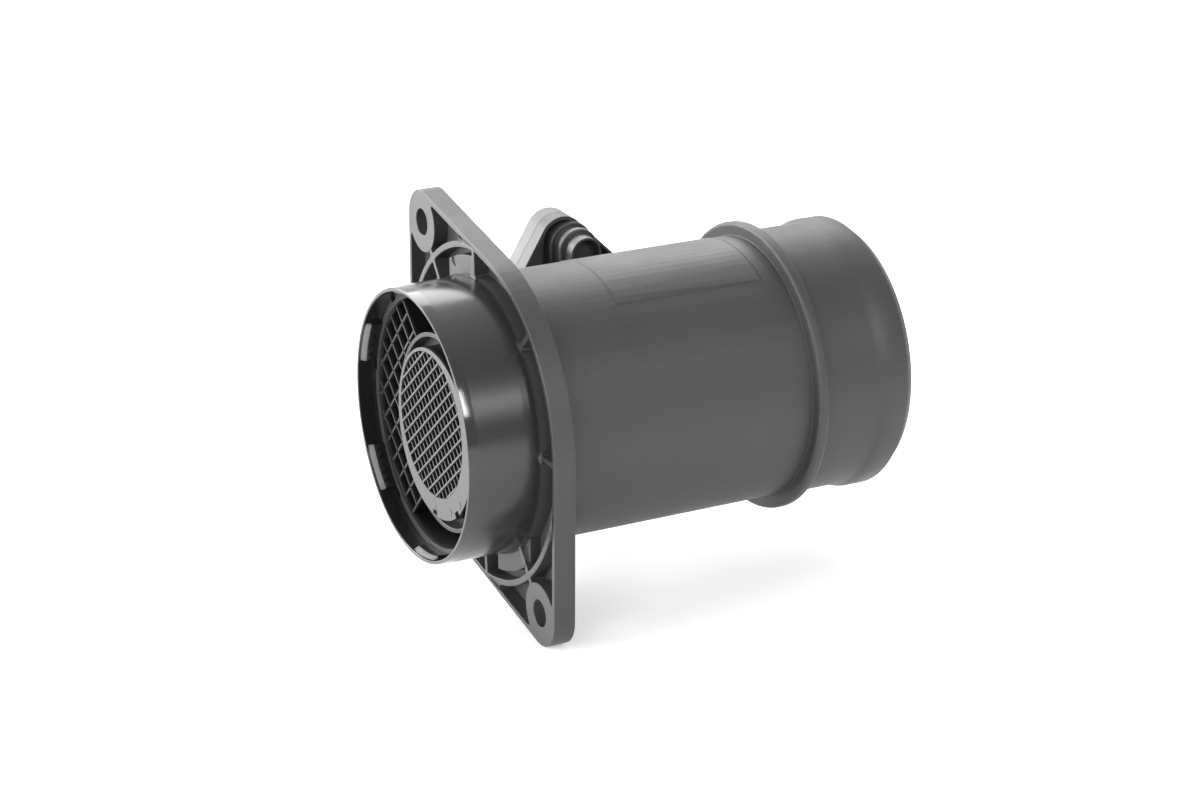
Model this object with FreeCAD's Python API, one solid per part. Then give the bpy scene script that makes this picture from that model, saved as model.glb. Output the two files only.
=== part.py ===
import FreeCAD, Part
import math
import os

# Mass airflow sensor, in millimetres. +X is the air flow along the duct's axis, +Y points to the electronics
# module and +Z up. The origin is on the axis, in the plane of the flange's front face.

# Duct
SPIGOT_R = 35.2
SPIGOT_LENGTH = 18.8
SPIGOT_WALL = 1.2
LEAD_IN_LENGTH = 2.8
LEAD_IN_DEPTH = 0.3
MOUTH_STEP = 2.1
TUBE_WALL = 2.7
COLLAR_X = 76.8
COLLAR_WIDTH = 3.2
COLLAR_HEIGHT = 3.5
COLLAR_ROUND = 1.1
HOSE_STEP = 0.4
BAND_HEIGHT = 1.0
BAND_RAMP_X = 95.6
BAND_X = 98.9
BAND_END_X = 104.0
HOSE_END_X = 106.8
HOSE_END_DROP = 1.3
MOUTH_X = -SPIGOT_LENGTH
MOUTH_R = SPIGOT_R - SPIGOT_WALL
BORE_R = MOUTH_R - MOUTH_STEP
TUBE_R = BORE_R + TUBE_WALL
COLLAR_R = TUBE_R + COLLAR_HEIGHT
HOSE_R = TUBE_R + HOSE_STEP
BAND_R = HOSE_R + BAND_HEIGHT
HOSE_END_R = HOSE_R - HOSE_END_DROP

# Blank label field, a low step on top of the tube
LABEL_X = 29.9
LABEL_END_X = 71.0
LABEL_FROM_ANGLE = 62.0
LABEL_TO_ANGLE = 120.2
LABEL_STEP = 0.15

# Flange
FLANGE_THICKNESS = 5.7
FLANGE_LEDGE = 7.6
FLANGE_R = SPIGOT_R + FLANGE_LEDGE
HOLE_REACH = 10.4
HOLE_RING_R = FLANGE_R + HOLE_REACH
HOLE_ANGLE = 50.5
HOLE_R = 3.5
LOBE_R = 8.4
BOSS_R = 7.9
FLANGE_FLOOR = 1.7
FLANGE_WALL = 1.4
POCKET_ROUND = 0.6
POCKET_START_X = -1.0
FLANGE_RIB = 1.4
FLANGE_RIB_ANGLES = (-1.5, HOLE_ANGLE, 86.4, 133.5)
ARC_RIB = 1.6
ARC_RIB_INSET = 0.4
POCKET_HALF_ANGLE = 25.6
ROOT_RING_STEP = 0.6
ROOT_RING_LENGTH = 1.0
PAD_GAP = 2.0
PAD_DEPTH = 1.0
PAD_SPANS_Y = ((4.0, 19.2), (-26.8, -7.7))
MARK_Y = 15.8
MARK_Z = 36.1
MARK_R = 1.65
MARK_DEPTH = 0.4
ROOT_RING_R = SPIGOT_R + ROOT_RING_STEP
ARC_RIB_R = FLANGE_R - ARC_RIB_INSET

# Mouth
SNAP_COUNT = 6
SNAP_START_ANGLE = 21.5
SNAP_SPAN_ANGLE = 21.0
SNAP_HEIGHT = 0.9
SNAP_RAMP = 1.5
SNAP_BEHIND_RIM = 0.4
FIT_GAP = 0.1

# Coarse grid
CARRIER_X = -13.9
CARRIER_LENGTH = 8.9
GRID_SET_BACK = 1.6
GRID_DEPTH = 5.0
GRID_RIB = 0.55
GRID_SLOPE_ANGLE = 51.0
GRID_PITCH_UP = 5.25
GRID_PITCH_DOWN = 4.95
COLLAR_RING_WALL = 0.9
KEY_WIDTH = 3.0
KEY_DEPTH = 0.8
KEY_ANGLES = (8, 52, 128, 172, 232, 308)
CARRIER_END_X = CARRIER_X + CARRIER_LENGTH

# Measuring tube, below the duct's axis
CORE_DROP = 3.1
CORE_SIDE_GAP = 3.5
CORE_WALL = 1.2
CORE_X = -10.3
CORE_END_X = 56.0
STRUT_WIDTH = 1.4
STRUT_X = 6.0
STRUT_LENGTH = 40.0
STRUT_ANGLES = (40, 140, 220, 320)
SHOULDER_X = -4.0
SHOULDER_WIDTH = 1.5
SHOULDER_DEPTH = 1.9
CORE_R = BORE_R - CORE_DROP - CORE_SIDE_GAP
CORE_BORE_R = CORE_R - CORE_WALL
GRID_RIBS_EACH_WAY = 2 + int((BORE_R + CORE_DROP) / GRID_PITCH_DOWN)

# Fine mesh
MESH_GAP = 2.3
MESH_X = -12.2
MESH_THICKNESS = 2.0
MESH_SKIRT_WALL = 1.0
MESH_FLANGE = 1.2
WINDOW_RIM = 3.2
WINDOW_SHIFT = 2.5
BAR_WIDTH = 0.5
BAR_PITCH = 2.62
SLAT_WIDTH = 0.5
SLAT_PITCH = 2.4
SLAT_SET_BACK = 0.35
NOTCH_ANGLES = (231.4, 270.5)
NOTCH_WIDTH = 2.4
NOTCH_DEPTH = 1.3
MESH_MARK_ANGLES = (223.4, 243.0)
MESH_MARK_INSET = 1.9
MESH_MARK_R = 1.1
MESH_MARK_DEPTH = 0.25
RETAINER_WIDTH = 1.2
MESH_R = CORE_BORE_R - MESH_GAP
WINDOW_R = MESH_R - WINDOW_RIM
MESH_MARK_RING_R = MESH_R - MESH_MARK_INSET

# Module outline, seen along Y
MODULE_STAND = 5.4
MODULE_LEFT_X = 24.0
MODULE_RIGHT_X = 66.0
MODULE_BOTTOM_Z = -26.0
POINT_X = 41.9
POINT_Z = 38.6
POINT_ROUND = 6.5
LEFT_SLOPE_ANGLE = 59.5
RIGHT_SLOPE_ANGLE = 45.0
SIDE_ROUND = 5.0
BOTTOM_ROUND = 4.0
TRAY_FLOOR = 1.8
TRAY_HEIGHT = 4.5
MODULE_WALL = 1.8
COVER_HEIGHT = 5.5
COVER_ROOF = 1.8
COVER_CHAMFER = 0.6
POINT_RECESS_DEPTH = 2.5
POINT_RECESS_RIM = 0.8
POINT_RECESS_Z = 9.5
POINT_FLOOR = 1.5
MODULE_Y = TUBE_R + MODULE_STAND
TRAY_TOP_Y = MODULE_Y + TRAY_HEIGHT
COVER_TOP_Y = TRAY_TOP_Y + COVER_HEIGHT
FLOOR_Y = MODULE_Y + TRAY_FLOOR

# Connector
SOCKET_X = 45.1
SOCKET_TOP_Z = 27.0
SOCKET_BOTTOM_Z = 17.0
SOCKET_R = 5.0
SOCKET_WALL = 1.1
SOCKET_STAND = 4.0
SOCKET_FLOOR_DEPTH = 9.5
LIP_R = 6.1
LIP_REACH = 1.6
NECK_R = 4.9
RIB_R = 5.5
RIB_REACH = 6.2
RIB_THICKNESS = 2.0
CUP_R = 4.3
CUP_BOTTOM_Z = 23.6
CUP_REACH = 10.5
CUP_WALL = 0.7
CUP_DEPTH = 3.0
EDGE_ROUND = 0.6
PIN_COUNT = 5
PIN_PITCH = 2.2
PIN_SIDE = 0.8
PIN_REACH = 6.5
LEAD_THICKNESS = 0.4
LEAD_WIDTH = 0.8
LEAD_SPACING = 1.6
LEAD_OVERLAP = 2.4
LEAD_RUN_MARGIN = 1.0
LEAD_RUN_WIDTH = 2 * (PIN_COUNT // 2 * LEAD_SPACING + LEAD_RUN_MARGIN)
LIP_Y = MODULE_Y - LIP_REACH
RIB_Y = MODULE_Y - RIB_REACH
CUP_Y = MODULE_Y - CUP_REACH
SHROUD_Y = COVER_TOP_Y + SOCKET_STAND
SOCKET_FLOOR_Y = SHROUD_Y - SOCKET_FLOOR_DEPTH

# Module's seat on the tube
PAD_MARGIN = 1.5
SEAT_TOP_Z = 9.0
SEAT_WALL = 2.2
SEAT_ROUND = 3.5
PORT_X = 44.0
PORT_LENGTH = 20.0
PORT_HEIGHT = 13.0
PORT_ROUND = 4.0
PORT_WALL = 2.2
PLUG_GAP = 0.2
PLUG_LENGTH = 7.0
SEAL_SIZE = 1.6
SEAL_DEPTH_IN_PLUG = 1.4
SEAL_FROM_FACE = 2.0
SCREW_PLACES = ((30.2, -19.8), (59.8, 3.6))
SCREW_R = 2.0
SCREW_LENGTH = 12.0
SCREW_HEAD_R = 3.6
SCREW_HEAD_HEIGHT = 2.2
SCREW_HEAD_ROUND = 0.7
SCREW_DRIVE_R = 1.4
SCREW_DRIVE_DEPTH = 1.2
SCREW_BOSS_R = 4.4
WELL_R = 4.6
WELL_WALL = 1.4

# Sensor arm
ARM_LENGTH_X = 16.0
ARM_WIDTH_Z = 8.6
ARM_ROUND = 2.2
ARM_TIP_Y = -9.0
TONGUE_LENGTH_X = 11.0
TONGUE_WIDTH_Z = 5.0
TONGUE_ROUND = 1.0
CHANNEL_WIDTH_Z = 4.4
CHANNEL_LENGTH_Y = 13.0
CHANNEL_CENTRE_Y = -0.5
ARM_COVER_THICKNESS = 1.2
ARM_COVER_MARGIN = 1.2
CARRIER_PLATE_X = 8.0
CARRIER_PLATE_THICKNESS = 0.6
CARRIER_PLATE_OVERLAP = 1.5
CHIP_SIDE_X = 3.0
CHIP_SIDE_Y = 4.0
CHIP_THICKNESS = 0.3
BEAD_R = 1.1
BEAD_STAND = 3.2
BEAD_Y = 14.0
BEAD_LEAD_R = 0.25
BEAD_LEAD_GAP = 1.0
ARM_CLEARANCE = 0.3

# Electronics
PLATE_X0 = 35.0
PLATE_X1 = 53.0
PLATE_Z0 = -15.0
PLATE_Z1 = 4.6
PLATE_THICKNESS = 0.6
BOARD_MARGIN = 0.5
BOARD_THICKNESS = 0.8
CONTROL_CHIP = (42.0, -7.5, 7.0, 6.0, 1.2)
CAPACITOR_SIZE = (2.0, 1.2, 1.0)
CAPACITOR_PLACES = ((38.0, -0.6), (38.0, -3.2), (50.0, -11.5))
RESISTOR_SIZE = (1.6, 0.9, 0.45)
RESISTOR_PLACES = ((50.0, -3.0), (50.0, -5.5), (50.0, -8.0), (38.5, -12.0))
SEAL_CORD = 0.7

TINY = 1e-6
X_AXIS = FreeCAD.Vector(1, 0, 0)
Y_AXIS = FreeCAD.Vector(0, 1, 0)
ORIGIN = FreeCAD.Vector(0, 0, 0)


def vec(x, y, z):
    return FreeCAD.Vector(x, y, z)


def save(name, shape):
    shape.exportStep("parts/" + name + ".step")


def box(x0, x1, y0, y1, z0, z1):
    return Part.makeBox(x1 - x0, y1 - y0, z1 - z0, vec(x0, y0, z0))


def rod_x(radius, x0, x1, y=0.0, z=0.0):
    return Part.makeCylinder(radius, x1 - x0, vec(x0, y, z), X_AXIS)


def rod_y(radius, y0, y1, x, z):
    return Part.makeCylinder(radius, y1 - y0, vec(x, y0, z), Y_AXIS)


def ring_x(outer, inner, x0, x1, z=0.0):
    return rod_x(outer, x0, x1, z=z).cut(rod_x(inner, x0, x1, z=z))


def turned(profile, angle=360.0):
    """Revolves a closed outline of (x, radius) points about the duct's axis, from +Z round towards -Y."""
    points = [vec(x, 0, r) for x, r in profile]
    face = Part.Face(Part.makePolygon(points + points[:1]))
    return face.revolve(ORIGIN, X_AXIS, angle)


def about_axis(shape, angle):
    """Turns a shape that is modelled at +Z to the given angle from +Y towards +Z."""
    placed = shape.copy()
    placed.rotate(ORIGIN, X_AXIS, angle - 90)
    return placed


def spoke(angle, width, r0, r1, x0, x1, z=0.0):
    """A flat radial wall at the given angle from +Y towards +Z."""
    wall = box(x0, x1, -width / 2, width / 2, r0, r1)
    wall = about_axis(wall, angle)
    wall.translate(vec(0, 0, z))
    return wall


def joined(shapes):
    first = shapes[0]
    if len(shapes) == 1:
        return first
    return first.fuse(shapes[1:]).removeSplitter()


def rounded_outline(points, radii):
    """A closed wire in the plane Y = 0 through (x, z) corners, each rounded by its own radius."""
    count = len(points)
    starts = []
    ends = []
    middles = []
    for i in range(count):
        corner = vec(points[i][0], 0, points[i][1])
        before = vec(points[i - 1][0], 0, points[i - 1][1]).sub(corner).normalize()
        after = vec(points[(i + 1) % count][0], 0, points[(i + 1) % count][1]).sub(corner).normalize()
        half = before.getAngle(after) / 2
        reach = radii[i] / math.tan(half)
        starts.append(corner.add(before.multiply(reach)))
        ends.append(corner.add(after.multiply(reach)))
        inward = starts[i].add(ends[i]).multiply(0.5).sub(corner).normalize()
        middles.append(corner.add(inward.multiply(radii[i] / math.sin(half) - radii[i])))
    edges = []
    for i in range(count):
        edges.append(Part.Arc(starts[i], middles[i], ends[i]).toShape())
        following = starts[(i + 1) % count]
        if ends[i].distanceToPoint(following) > TINY:
            edges.append(Part.LineSegment(ends[i], following).toShape())
    return Part.Wire(edges)


def prism_y(wire, y0, y1):
    solid = Part.Face(wire).extrude(vec(0, y1 - y0, 0))
    solid.translate(vec(0, y0, 0))
    return solid


def rounded_block_y(x, z, length, height, radius, y0, y1):
    """A block along Y with rounded corners, centred on (x, z)."""
    a = length / 2
    b = height / 2
    corners = [(x - a, z - b), (x + a, z - b), (x + a, z + b), (x - a, z + b)]
    return prism_y(rounded_outline(corners, [radius] * 4), y0, y1)


def stadium_y(radius, y0, y1, bottom_z=SOCKET_BOTTOM_Z):
    """The upright oval of the connector, with its half width, along Y."""
    top = rod_y(radius, y0, y1, SOCKET_X, SOCKET_TOP_Z)
    bottom = rod_y(radius, y0, y1, SOCKET_X, bottom_z)
    middle = box(SOCKET_X - radius, SOCKET_X + radius, y0, y1, bottom_z, SOCKET_TOP_Z)
    return joined([top, bottom, middle])


def rounded_at(shape, y, radius):
    """Rounds the edges of a shape that lie wholly in the plane at y."""
    edges = [e for e in shape.Edges if max(abs(v.Point.y - y) for v in e.Vertexes) < TINY]
    return shape.makeFillet(radius, edges)


# Housing


def flange_blank(margin, x0, x1):
    """The flange's outline, a round plate drawn out to a lobe at each hole, inset by a margin."""
    big = FLANGE_R - margin
    small = LOBE_R - margin
    lean = math.acos((FLANGE_R - LOBE_R) / HOLE_RING_R)

    def point(along, radius, angle):
        return vec(x0, along + radius * math.cos(angle), radius * math.sin(angle))

    edges = []
    for side in (0, math.pi):
        turn = vec(x0, 0, 0)
        lobe = [point(HOLE_RING_R, small, a) for a in (-lean, 0, lean)]
        flank = [point(0, big, a) for a in (lean, math.pi / 2, math.pi - lean)]
        group = [
            Part.Arc(*lobe).toShape(),
            Part.LineSegment(lobe[2], flank[0]).toShape(),
            Part.Arc(*flank).toShape(),
            Part.LineSegment(flank[2], point(-HOLE_RING_R, small, math.pi - lean)).toShape(),
        ]
        for edge in group:
            edge.rotate(turn, X_AXIS, math.degrees(side) + HOLE_ANGLE)
            edges.append(edge)
    wire = Part.Wire(Part.__sortEdges__(edges))
    return Part.Face(wire).extrude(vec(x1 - x0, 0, 0))


def hole_centres():
    angle = math.radians(HOLE_ANGLE)
    y = HOLE_RING_R * math.cos(angle)
    z = HOLE_RING_R * math.sin(angle)
    return [(y, z), (-y, -z)]


def lobe_sector(half_turn):
    """The wedge about a hole's line in which the flange has pockets outside its arc rib."""
    reach = HOLE_RING_R + LOBE_R
    half = math.radians(POCKET_HALF_ANGLE)
    side = reach * math.tan(half)
    corners = [ORIGIN, vec(0, -side, reach), vec(0, side, reach), ORIGIN]
    wedge = Part.Face(Part.makePolygon(corners)).extrude(vec(FLANGE_THICKNESS, 0, 0))
    return about_axis(wedge, HOLE_ANGLE + half_turn)


def flange_pads():
    """Two low pads between the spigot and the arc rib; the upper one has an ejector mark."""
    ring = ring_x(ARC_RIB_R - PAD_GAP, SPIGOT_R, PAD_DEPTH, FLANGE_THICKNESS)
    upper, lower = PAD_SPANS_Y
    top = ring.common(box(0, FLANGE_THICKNESS, *upper, 0, FLANGE_R))
    mark = rod_x(MARK_R, 0, PAD_DEPTH + MARK_DEPTH, MARK_Y, MARK_Z)
    return [top.cut(mark), ring.common(box(0, FLANGE_THICKNESS, *lower, -FLANGE_R, 0))]


def flange_pockets():
    """What the flange's front lacks: everything but its rim, its bosses, its ribs and two low pads."""
    floor_x = FLANGE_THICKNESS - FLANGE_FLOOR
    pockets = flange_blank(FLANGE_WALL, POCKET_START_X, floor_x)
    outside = ring_x(HOLE_RING_R + LOBE_R, ARC_RIB_R, 0, FLANGE_THICKNESS)
    kept = [rod_x(ROOT_RING_R, -2.0, FLANGE_THICKNESS)]
    kept.append(ring_x(ARC_RIB_R + ARC_RIB, ARC_RIB_R, 0, FLANGE_THICKNESS))
    kept.append(outside.cut([lobe_sector(0), lobe_sector(180)]))
    for y, z in hole_centres():
        kept.append(rod_x(BOSS_R, 0, FLANGE_THICKNESS, y, z))
    for half_turn in (0, 180):
        for angle in FLANGE_RIB_ANGLES:
            end = HOLE_RING_R if angle == HOLE_ANGLE else FLANGE_R
            kept.append(spoke(angle + half_turn, FLANGE_RIB, SPIGOT_R, end, 0, FLANGE_THICKNESS))
    rounded = []
    for face in pockets.cut(kept + flange_pads()).Faces:
        depth = face.BoundBox.XMin
        if face.BoundBox.XLength > TINY or depth < TINY:
            continue
        if abs(depth - floor_x) < TINY:
            face = face.makeOffset2D(-POCKET_ROUND).makeOffset2D(POCKET_ROUND)
        rounded.append(face.extrude(vec(POCKET_START_X - depth, 0, 0)))
    return rounded


def duct_blank():
    """The outside of the duct as one turned body, from the mouth's rim to the hose end."""
    profile = [
        (MOUTH_X, 0),
        (MOUTH_X, SPIGOT_R - LEAD_IN_DEPTH),
        (MOUTH_X + LEAD_IN_LENGTH, SPIGOT_R),
        (-ROOT_RING_LENGTH, SPIGOT_R),
        (0, ROOT_RING_R),
        (FLANGE_THICKNESS, ROOT_RING_R),
        (FLANGE_THICKNESS, TUBE_R),
        (COLLAR_X, TUBE_R),
        (COLLAR_X, COLLAR_R),
        (COLLAR_X + COLLAR_WIDTH, COLLAR_R),
        (COLLAR_X + COLLAR_WIDTH, HOSE_R),
        (BAND_RAMP_X, HOSE_R),
        (BAND_X, BAND_R),
        (BAND_END_X, BAND_R),
        (HOSE_END_X, HOSE_END_R),
        (HOSE_END_X, 0),
    ]
    blank = turned(profile)
    rims = []
    for edge in blank.Edges:
        point = edge.Vertexes[0].Point
        radius = math.hypot(point.y, point.z)
        if abs(radius - COLLAR_R) < TINY and edge.Closed:
            rims.append(edge)
    return blank.makeFillet(COLLAR_ROUND, rims)


def snap_lug():
    x0 = MOUTH_X + SNAP_BEHIND_RIM
    profile = [
        (x0, MOUTH_R),
        (x0 + SNAP_RAMP, MOUTH_R - SNAP_HEIGHT),
        (CARRIER_X - FIT_GAP, MOUTH_R - SNAP_HEIGHT),
        (CARRIER_X - FIT_GAP, MOUTH_R + SPIGOT_WALL / 2),
        (x0, MOUTH_R + SPIGOT_WALL / 2),
    ]
    lug = turned(profile, SNAP_SPAN_ANGLE)
    lug.rotate(ORIGIN, X_AXIS, -SNAP_SPAN_ANGLE / 2)
    return lug


def label_field():
    """The low blank step on the tube that a label would take."""
    low = TUBE_R - LABEL_STEP
    high = TUBE_R + LABEL_STEP
    profile = [(LABEL_X, low), (LABEL_X, high), (LABEL_END_X, high), (LABEL_END_X, low)]
    return about_axis(turned(profile, LABEL_TO_ANGLE - LABEL_FROM_ANGLE), LABEL_FROM_ANGLE)


def port_block(margin, y0, y1):
    """The module's port through the wall, made larger all round by a margin."""
    length = PORT_LENGTH + 2 * margin
    height = PORT_HEIGHT + 2 * margin
    return rounded_block_y(PORT_X, -CORE_DROP, length, height, PORT_ROUND + margin, y0, y1)


def module_seat():
    """The raised frame on the tube's side that the module stands on, with its port and screw bosses."""
    x0 = MODULE_LEFT_X + PAD_MARGIN
    x1 = MODULE_RIGHT_X - PAD_MARGIN
    z0 = MODULE_BOTTOM_Z + PAD_MARGIN
    centre = ((x0 + x1) / 2, (z0 + SEAT_TOP_Z) / 2)
    size = (x1 - x0, SEAT_TOP_Z - z0)
    outside = rounded_block_y(*centre, *size, SEAT_ROUND, 0, MODULE_Y)
    inner_size = (size[0] - 2 * SEAT_WALL, size[1] - 2 * SEAT_WALL)
    hollow = rounded_block_y(*centre, *inner_size, SEAT_ROUND - SEAT_WALL / 2, 0, MODULE_Y + 1)
    kept = [port_block(PORT_WALL, 0, MODULE_Y)]
    for x, z in SCREW_PLACES:
        kept.append(rod_y(SCREW_BOSS_R, 0, MODULE_Y, x, z))
    return outside.cut(hollow.cut(kept))


def build_housing():
    body = joined([duct_blank(), flange_blank(0, 0, FLANGE_THICKNESS), module_seat(), label_field()])
    seat_x = CARRIER_END_X + FIT_GAP
    removed = [rod_x(MOUTH_R, MOUTH_X - 1, seat_x), rod_x(BORE_R, seat_x - 1, HOSE_END_X + 1)]
    removed += flange_pockets()
    removed.append(port_block(0, 0, MODULE_Y + 1))
    for y, z in hole_centres():
        removed.append(rod_x(HOLE_R, -1, FLANGE_THICKNESS + 1, y, z))
    for x, z in SCREW_PLACES:
        removed.append(rod_y(SCREW_R, FLOOR_Y - SCREW_LENGTH, MODULE_Y + 1, x, z))
    body = body.cut(removed)
    lugs = [about_axis(snap_lug(), SNAP_START_ANGLE + i * 360 / SNAP_COUNT) for i in range(SNAP_COUNT)]
    save("housing_body", joined([body] + lugs))


# Mouth pieces


def family_wall(slope, offset):
    """One long rib of the coarse grid, at a slope to +Y and an offset from the measuring tube's axis."""
    x0 = CARRIER_X + GRID_SET_BACK
    rib = box(x0, x0 + GRID_DEPTH, -BORE_R * 2, BORE_R * 2, offset - GRID_RIB / 2, offset + GRID_RIB / 2)
    rib.rotate(ORIGIN, X_AXIS, slope)
    rib.translate(vec(0, 0, -CORE_DROP))
    return rib


def half_plane(slope, offset, side):
    """A large block on one side of a line at a slope to +Y."""
    reach = 3 * FLANGE_R
    low, high = (offset, reach) if side > 0 else (-reach, offset)
    block = box(CARRIER_X, CARRIER_X + 2 * GRID_DEPTH, -reach, reach, low, high)
    block.rotate(ORIGIN, X_AXIS, slope)
    block.translate(vec(0, 0, -CORE_DROP))
    return block


def coarse_grid_side():
    """The diamond ribs on the +Y side, from the top rib that rises to the bottom rib that falls."""
    x0 = CARRIER_X + GRID_SET_BACK
    field = rod_x(BORE_R + FIT_GAP, x0, x0 + GRID_DEPTH)
    field = field.cut(rod_x(CORE_R + FIT_GAP + COLLAR_RING_WALL / 2, x0, x0 + GRID_DEPTH, z=-CORE_DROP))
    field = field.common(half_plane(GRID_SLOPE_ANGLE, GRID_PITCH_UP + GRID_RIB / 2, -1))
    field = field.common(half_plane(-GRID_SLOPE_ANGLE, -GRID_PITCH_DOWN - GRID_RIB / 2, 1))
    ribs = []
    for i in range(GRID_RIBS_EACH_WAY):
        ribs.append(family_wall(GRID_SLOPE_ANGLE, GRID_PITCH_UP * (1 - i)))
        ribs.append(family_wall(-GRID_SLOPE_ANGLE, GRID_PITCH_DOWN * (i - 1)))
    return joined(ribs).common(field)


def build_flow_grid():
    outer = ring_x(MOUTH_R - FIT_GAP, BORE_R, CARRIER_X, CARRIER_END_X)
    for angle in KEY_ANGLES:
        key = spoke(angle, KEY_WIDTH, MOUTH_R - KEY_DEPTH, MOUTH_R + 1, CARRIER_X - 1, CARRIER_X + KEY_DEPTH)
        outer = outer.cut(key)
    inner_r = CORE_R + FIT_GAP
    inner_x = CORE_X + COLLAR_RING_WALL
    inner_end_x = CARRIER_X + GRID_SET_BACK + GRID_DEPTH
    inner = ring_x(inner_r + COLLAR_RING_WALL, inner_r, inner_x, inner_end_x, z=-CORE_DROP)
    side = coarse_grid_side()
    other_side = side.mirror(ORIGIN, Y_AXIS)
    save("flow_grid", joined([outer, inner, side, other_side]))


def build_measuring_tube():
    tube = ring_x(CORE_R, CORE_BORE_R, CORE_X, CORE_END_X, z=-CORE_DROP)
    shoulder_r = CORE_BORE_R - SHOULDER_DEPTH
    middle_r = CORE_R - CORE_WALL / 2
    shoulder = ring_x(middle_r, shoulder_r, SHOULDER_X, SHOULDER_X + SHOULDER_WIDTH, z=-CORE_DROP)
    strut_end_x = STRUT_X + STRUT_LENGTH
    reach = rod_x(BORE_R - FIT_GAP, STRUT_X, strut_end_x)
    struts = []
    for angle in STRUT_ANGLES:
        strut = spoke(angle, STRUT_WIDTH, middle_r, FLANGE_R, STRUT_X, strut_end_x, z=-CORE_DROP)
        struts.append(strut.common(reach))
    body = joined([tube, shoulder] + struts)
    slot = rounded_block_y(
        PORT_X, -CORE_DROP, ARM_LENGTH_X + 2 * ARM_CLEARANCE, ARM_WIDTH_Z + 2 * ARM_CLEARANCE,
        ARM_ROUND + ARM_CLEARANCE, 0, CORE_R + 1
    )
    save("measuring_tube", body.cut(slot))


def mesh_bars(count, width, pitch, x0, angle):
    """Parallel walls across the mesh window, square to the given angle."""
    bars = []
    for i in range(count):
        offset = (i - (count - 1) / 2) * pitch
        bar = box(x0, MESH_X + MESH_THICKNESS, -MESH_R, MESH_R, offset - width / 2, offset + width / 2)
        bars.append(about_axis(bar, angle))
    return bars


def build_fine_mesh():
    back_x = SHOULDER_X
    disc = rod_x(MESH_R, MESH_X, MESH_X + MESH_THICKNESS)
    shift = math.radians(HOLE_ANGLE)
    window_y = WINDOW_SHIFT * math.cos(shift)
    window_z = WINDOW_SHIFT * math.sin(shift)
    window = rod_x(WINDOW_R, MESH_X - 1, MESH_X + MESH_THICKNESS + 1, window_y, window_z)
    bar_count = int(2 * WINDOW_R / BAR_PITCH)
    slat_count = int(2 * WINDOW_R / SLAT_PITCH)
    bars = mesh_bars(bar_count, BAR_WIDTH, BAR_PITCH, MESH_X, HOLE_ANGLE)
    slats = mesh_bars(slat_count, SLAT_WIDTH, SLAT_PITCH, MESH_X + SLAT_SET_BACK, HOLE_ANGLE + 90)
    lattice = bars[0].fuse(bars[1:] + slats)
    lattice.translate(vec(0, window_y, window_z))
    lattice = lattice.common(window)
    plate = disc.cut(window)
    for angle in NOTCH_ANGLES:
        notch = spoke(angle, NOTCH_WIDTH, MESH_R - NOTCH_DEPTH, MESH_R + 1, MESH_X - 1, MESH_X + NOTCH_DEPTH)
        plate = plate.cut(notch)
    for angle in MESH_MARK_ANGLES:
        turn = math.radians(angle)
        y = MESH_MARK_RING_R * math.cos(turn)
        z = MESH_MARK_RING_R * math.sin(turn)
        plate = plate.cut(rod_x(MESH_MARK_R, MESH_X - 1, MESH_X + MESH_MARK_DEPTH, y, z))
    skirt = ring_x(MESH_R, MESH_R - MESH_SKIRT_WALL, MESH_X + MESH_THICKNESS / 2, back_x)
    flange = ring_x(CORE_BORE_R - FIT_GAP, MESH_R - MESH_SKIRT_WALL, back_x - MESH_FLANGE, back_x)
    body = joined([plate, lattice, skirt, flange])
    body.translate(vec(0, 0, -CORE_DROP))
    save("fine_mesh", body)
    front_x = back_x - MESH_FLANGE
    retainer = ring_x(CORE_BORE_R, MESH_R + FIT_GAP, front_x - RETAINER_WIDTH, front_x, z=-CORE_DROP)
    save("mesh_retaining_ring", retainer)


# Module


def module_outline(margin):
    """The module's outline: a box whose top runs to a rounded point, inset by a margin."""
    left = math.radians(LEFT_SLOPE_ANGLE)
    right = math.radians(RIGHT_SLOPE_ANGLE)
    left_x = MODULE_LEFT_X + margin
    right_x = MODULE_RIGHT_X - margin
    bottom_z = MODULE_BOTTOM_Z + margin
    left_rise = POINT_Z - POINT_X * math.tan(left) - margin / math.cos(left)
    right_rise = POINT_Z + POINT_X * math.tan(right) - margin / math.cos(right)
    point_x = (right_rise - left_rise) / (math.tan(left) + math.tan(right))
    corners = [
        (left_x, bottom_z),
        (right_x, bottom_z),
        (right_x, right_rise - right_x * math.tan(right)),
        (point_x, left_rise + point_x * math.tan(left)),
        (left_x, left_rise + left_x * math.tan(left)),
    ]
    radii = [BOTTOM_ROUND, BOTTOM_ROUND, SIDE_ROUND, POINT_ROUND, SIDE_ROUND]
    return rounded_outline(corners, [radius - margin / 2 for radius in radii])


def module_prism(margin, y0, y1):
    return prism_y(module_outline(margin), y0, y1)


def well_rods(radius, y0, y1):
    return [rod_y(radius, y0, y1, x, z) for x, z in SCREW_PLACES]


def point_region(y0, y1):
    """The pointed end of the module, above the seat on the tube."""
    return box(0, HOSE_END_X, y0, y1, POINT_RECESS_Z, 2 * POINT_Z)


def seal_groove(y0, y1, inset):
    outer = module_prism(inset, y0, y1)
    return outer.cut(module_prism(inset + SEAL_CORD, y0, y1))


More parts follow.
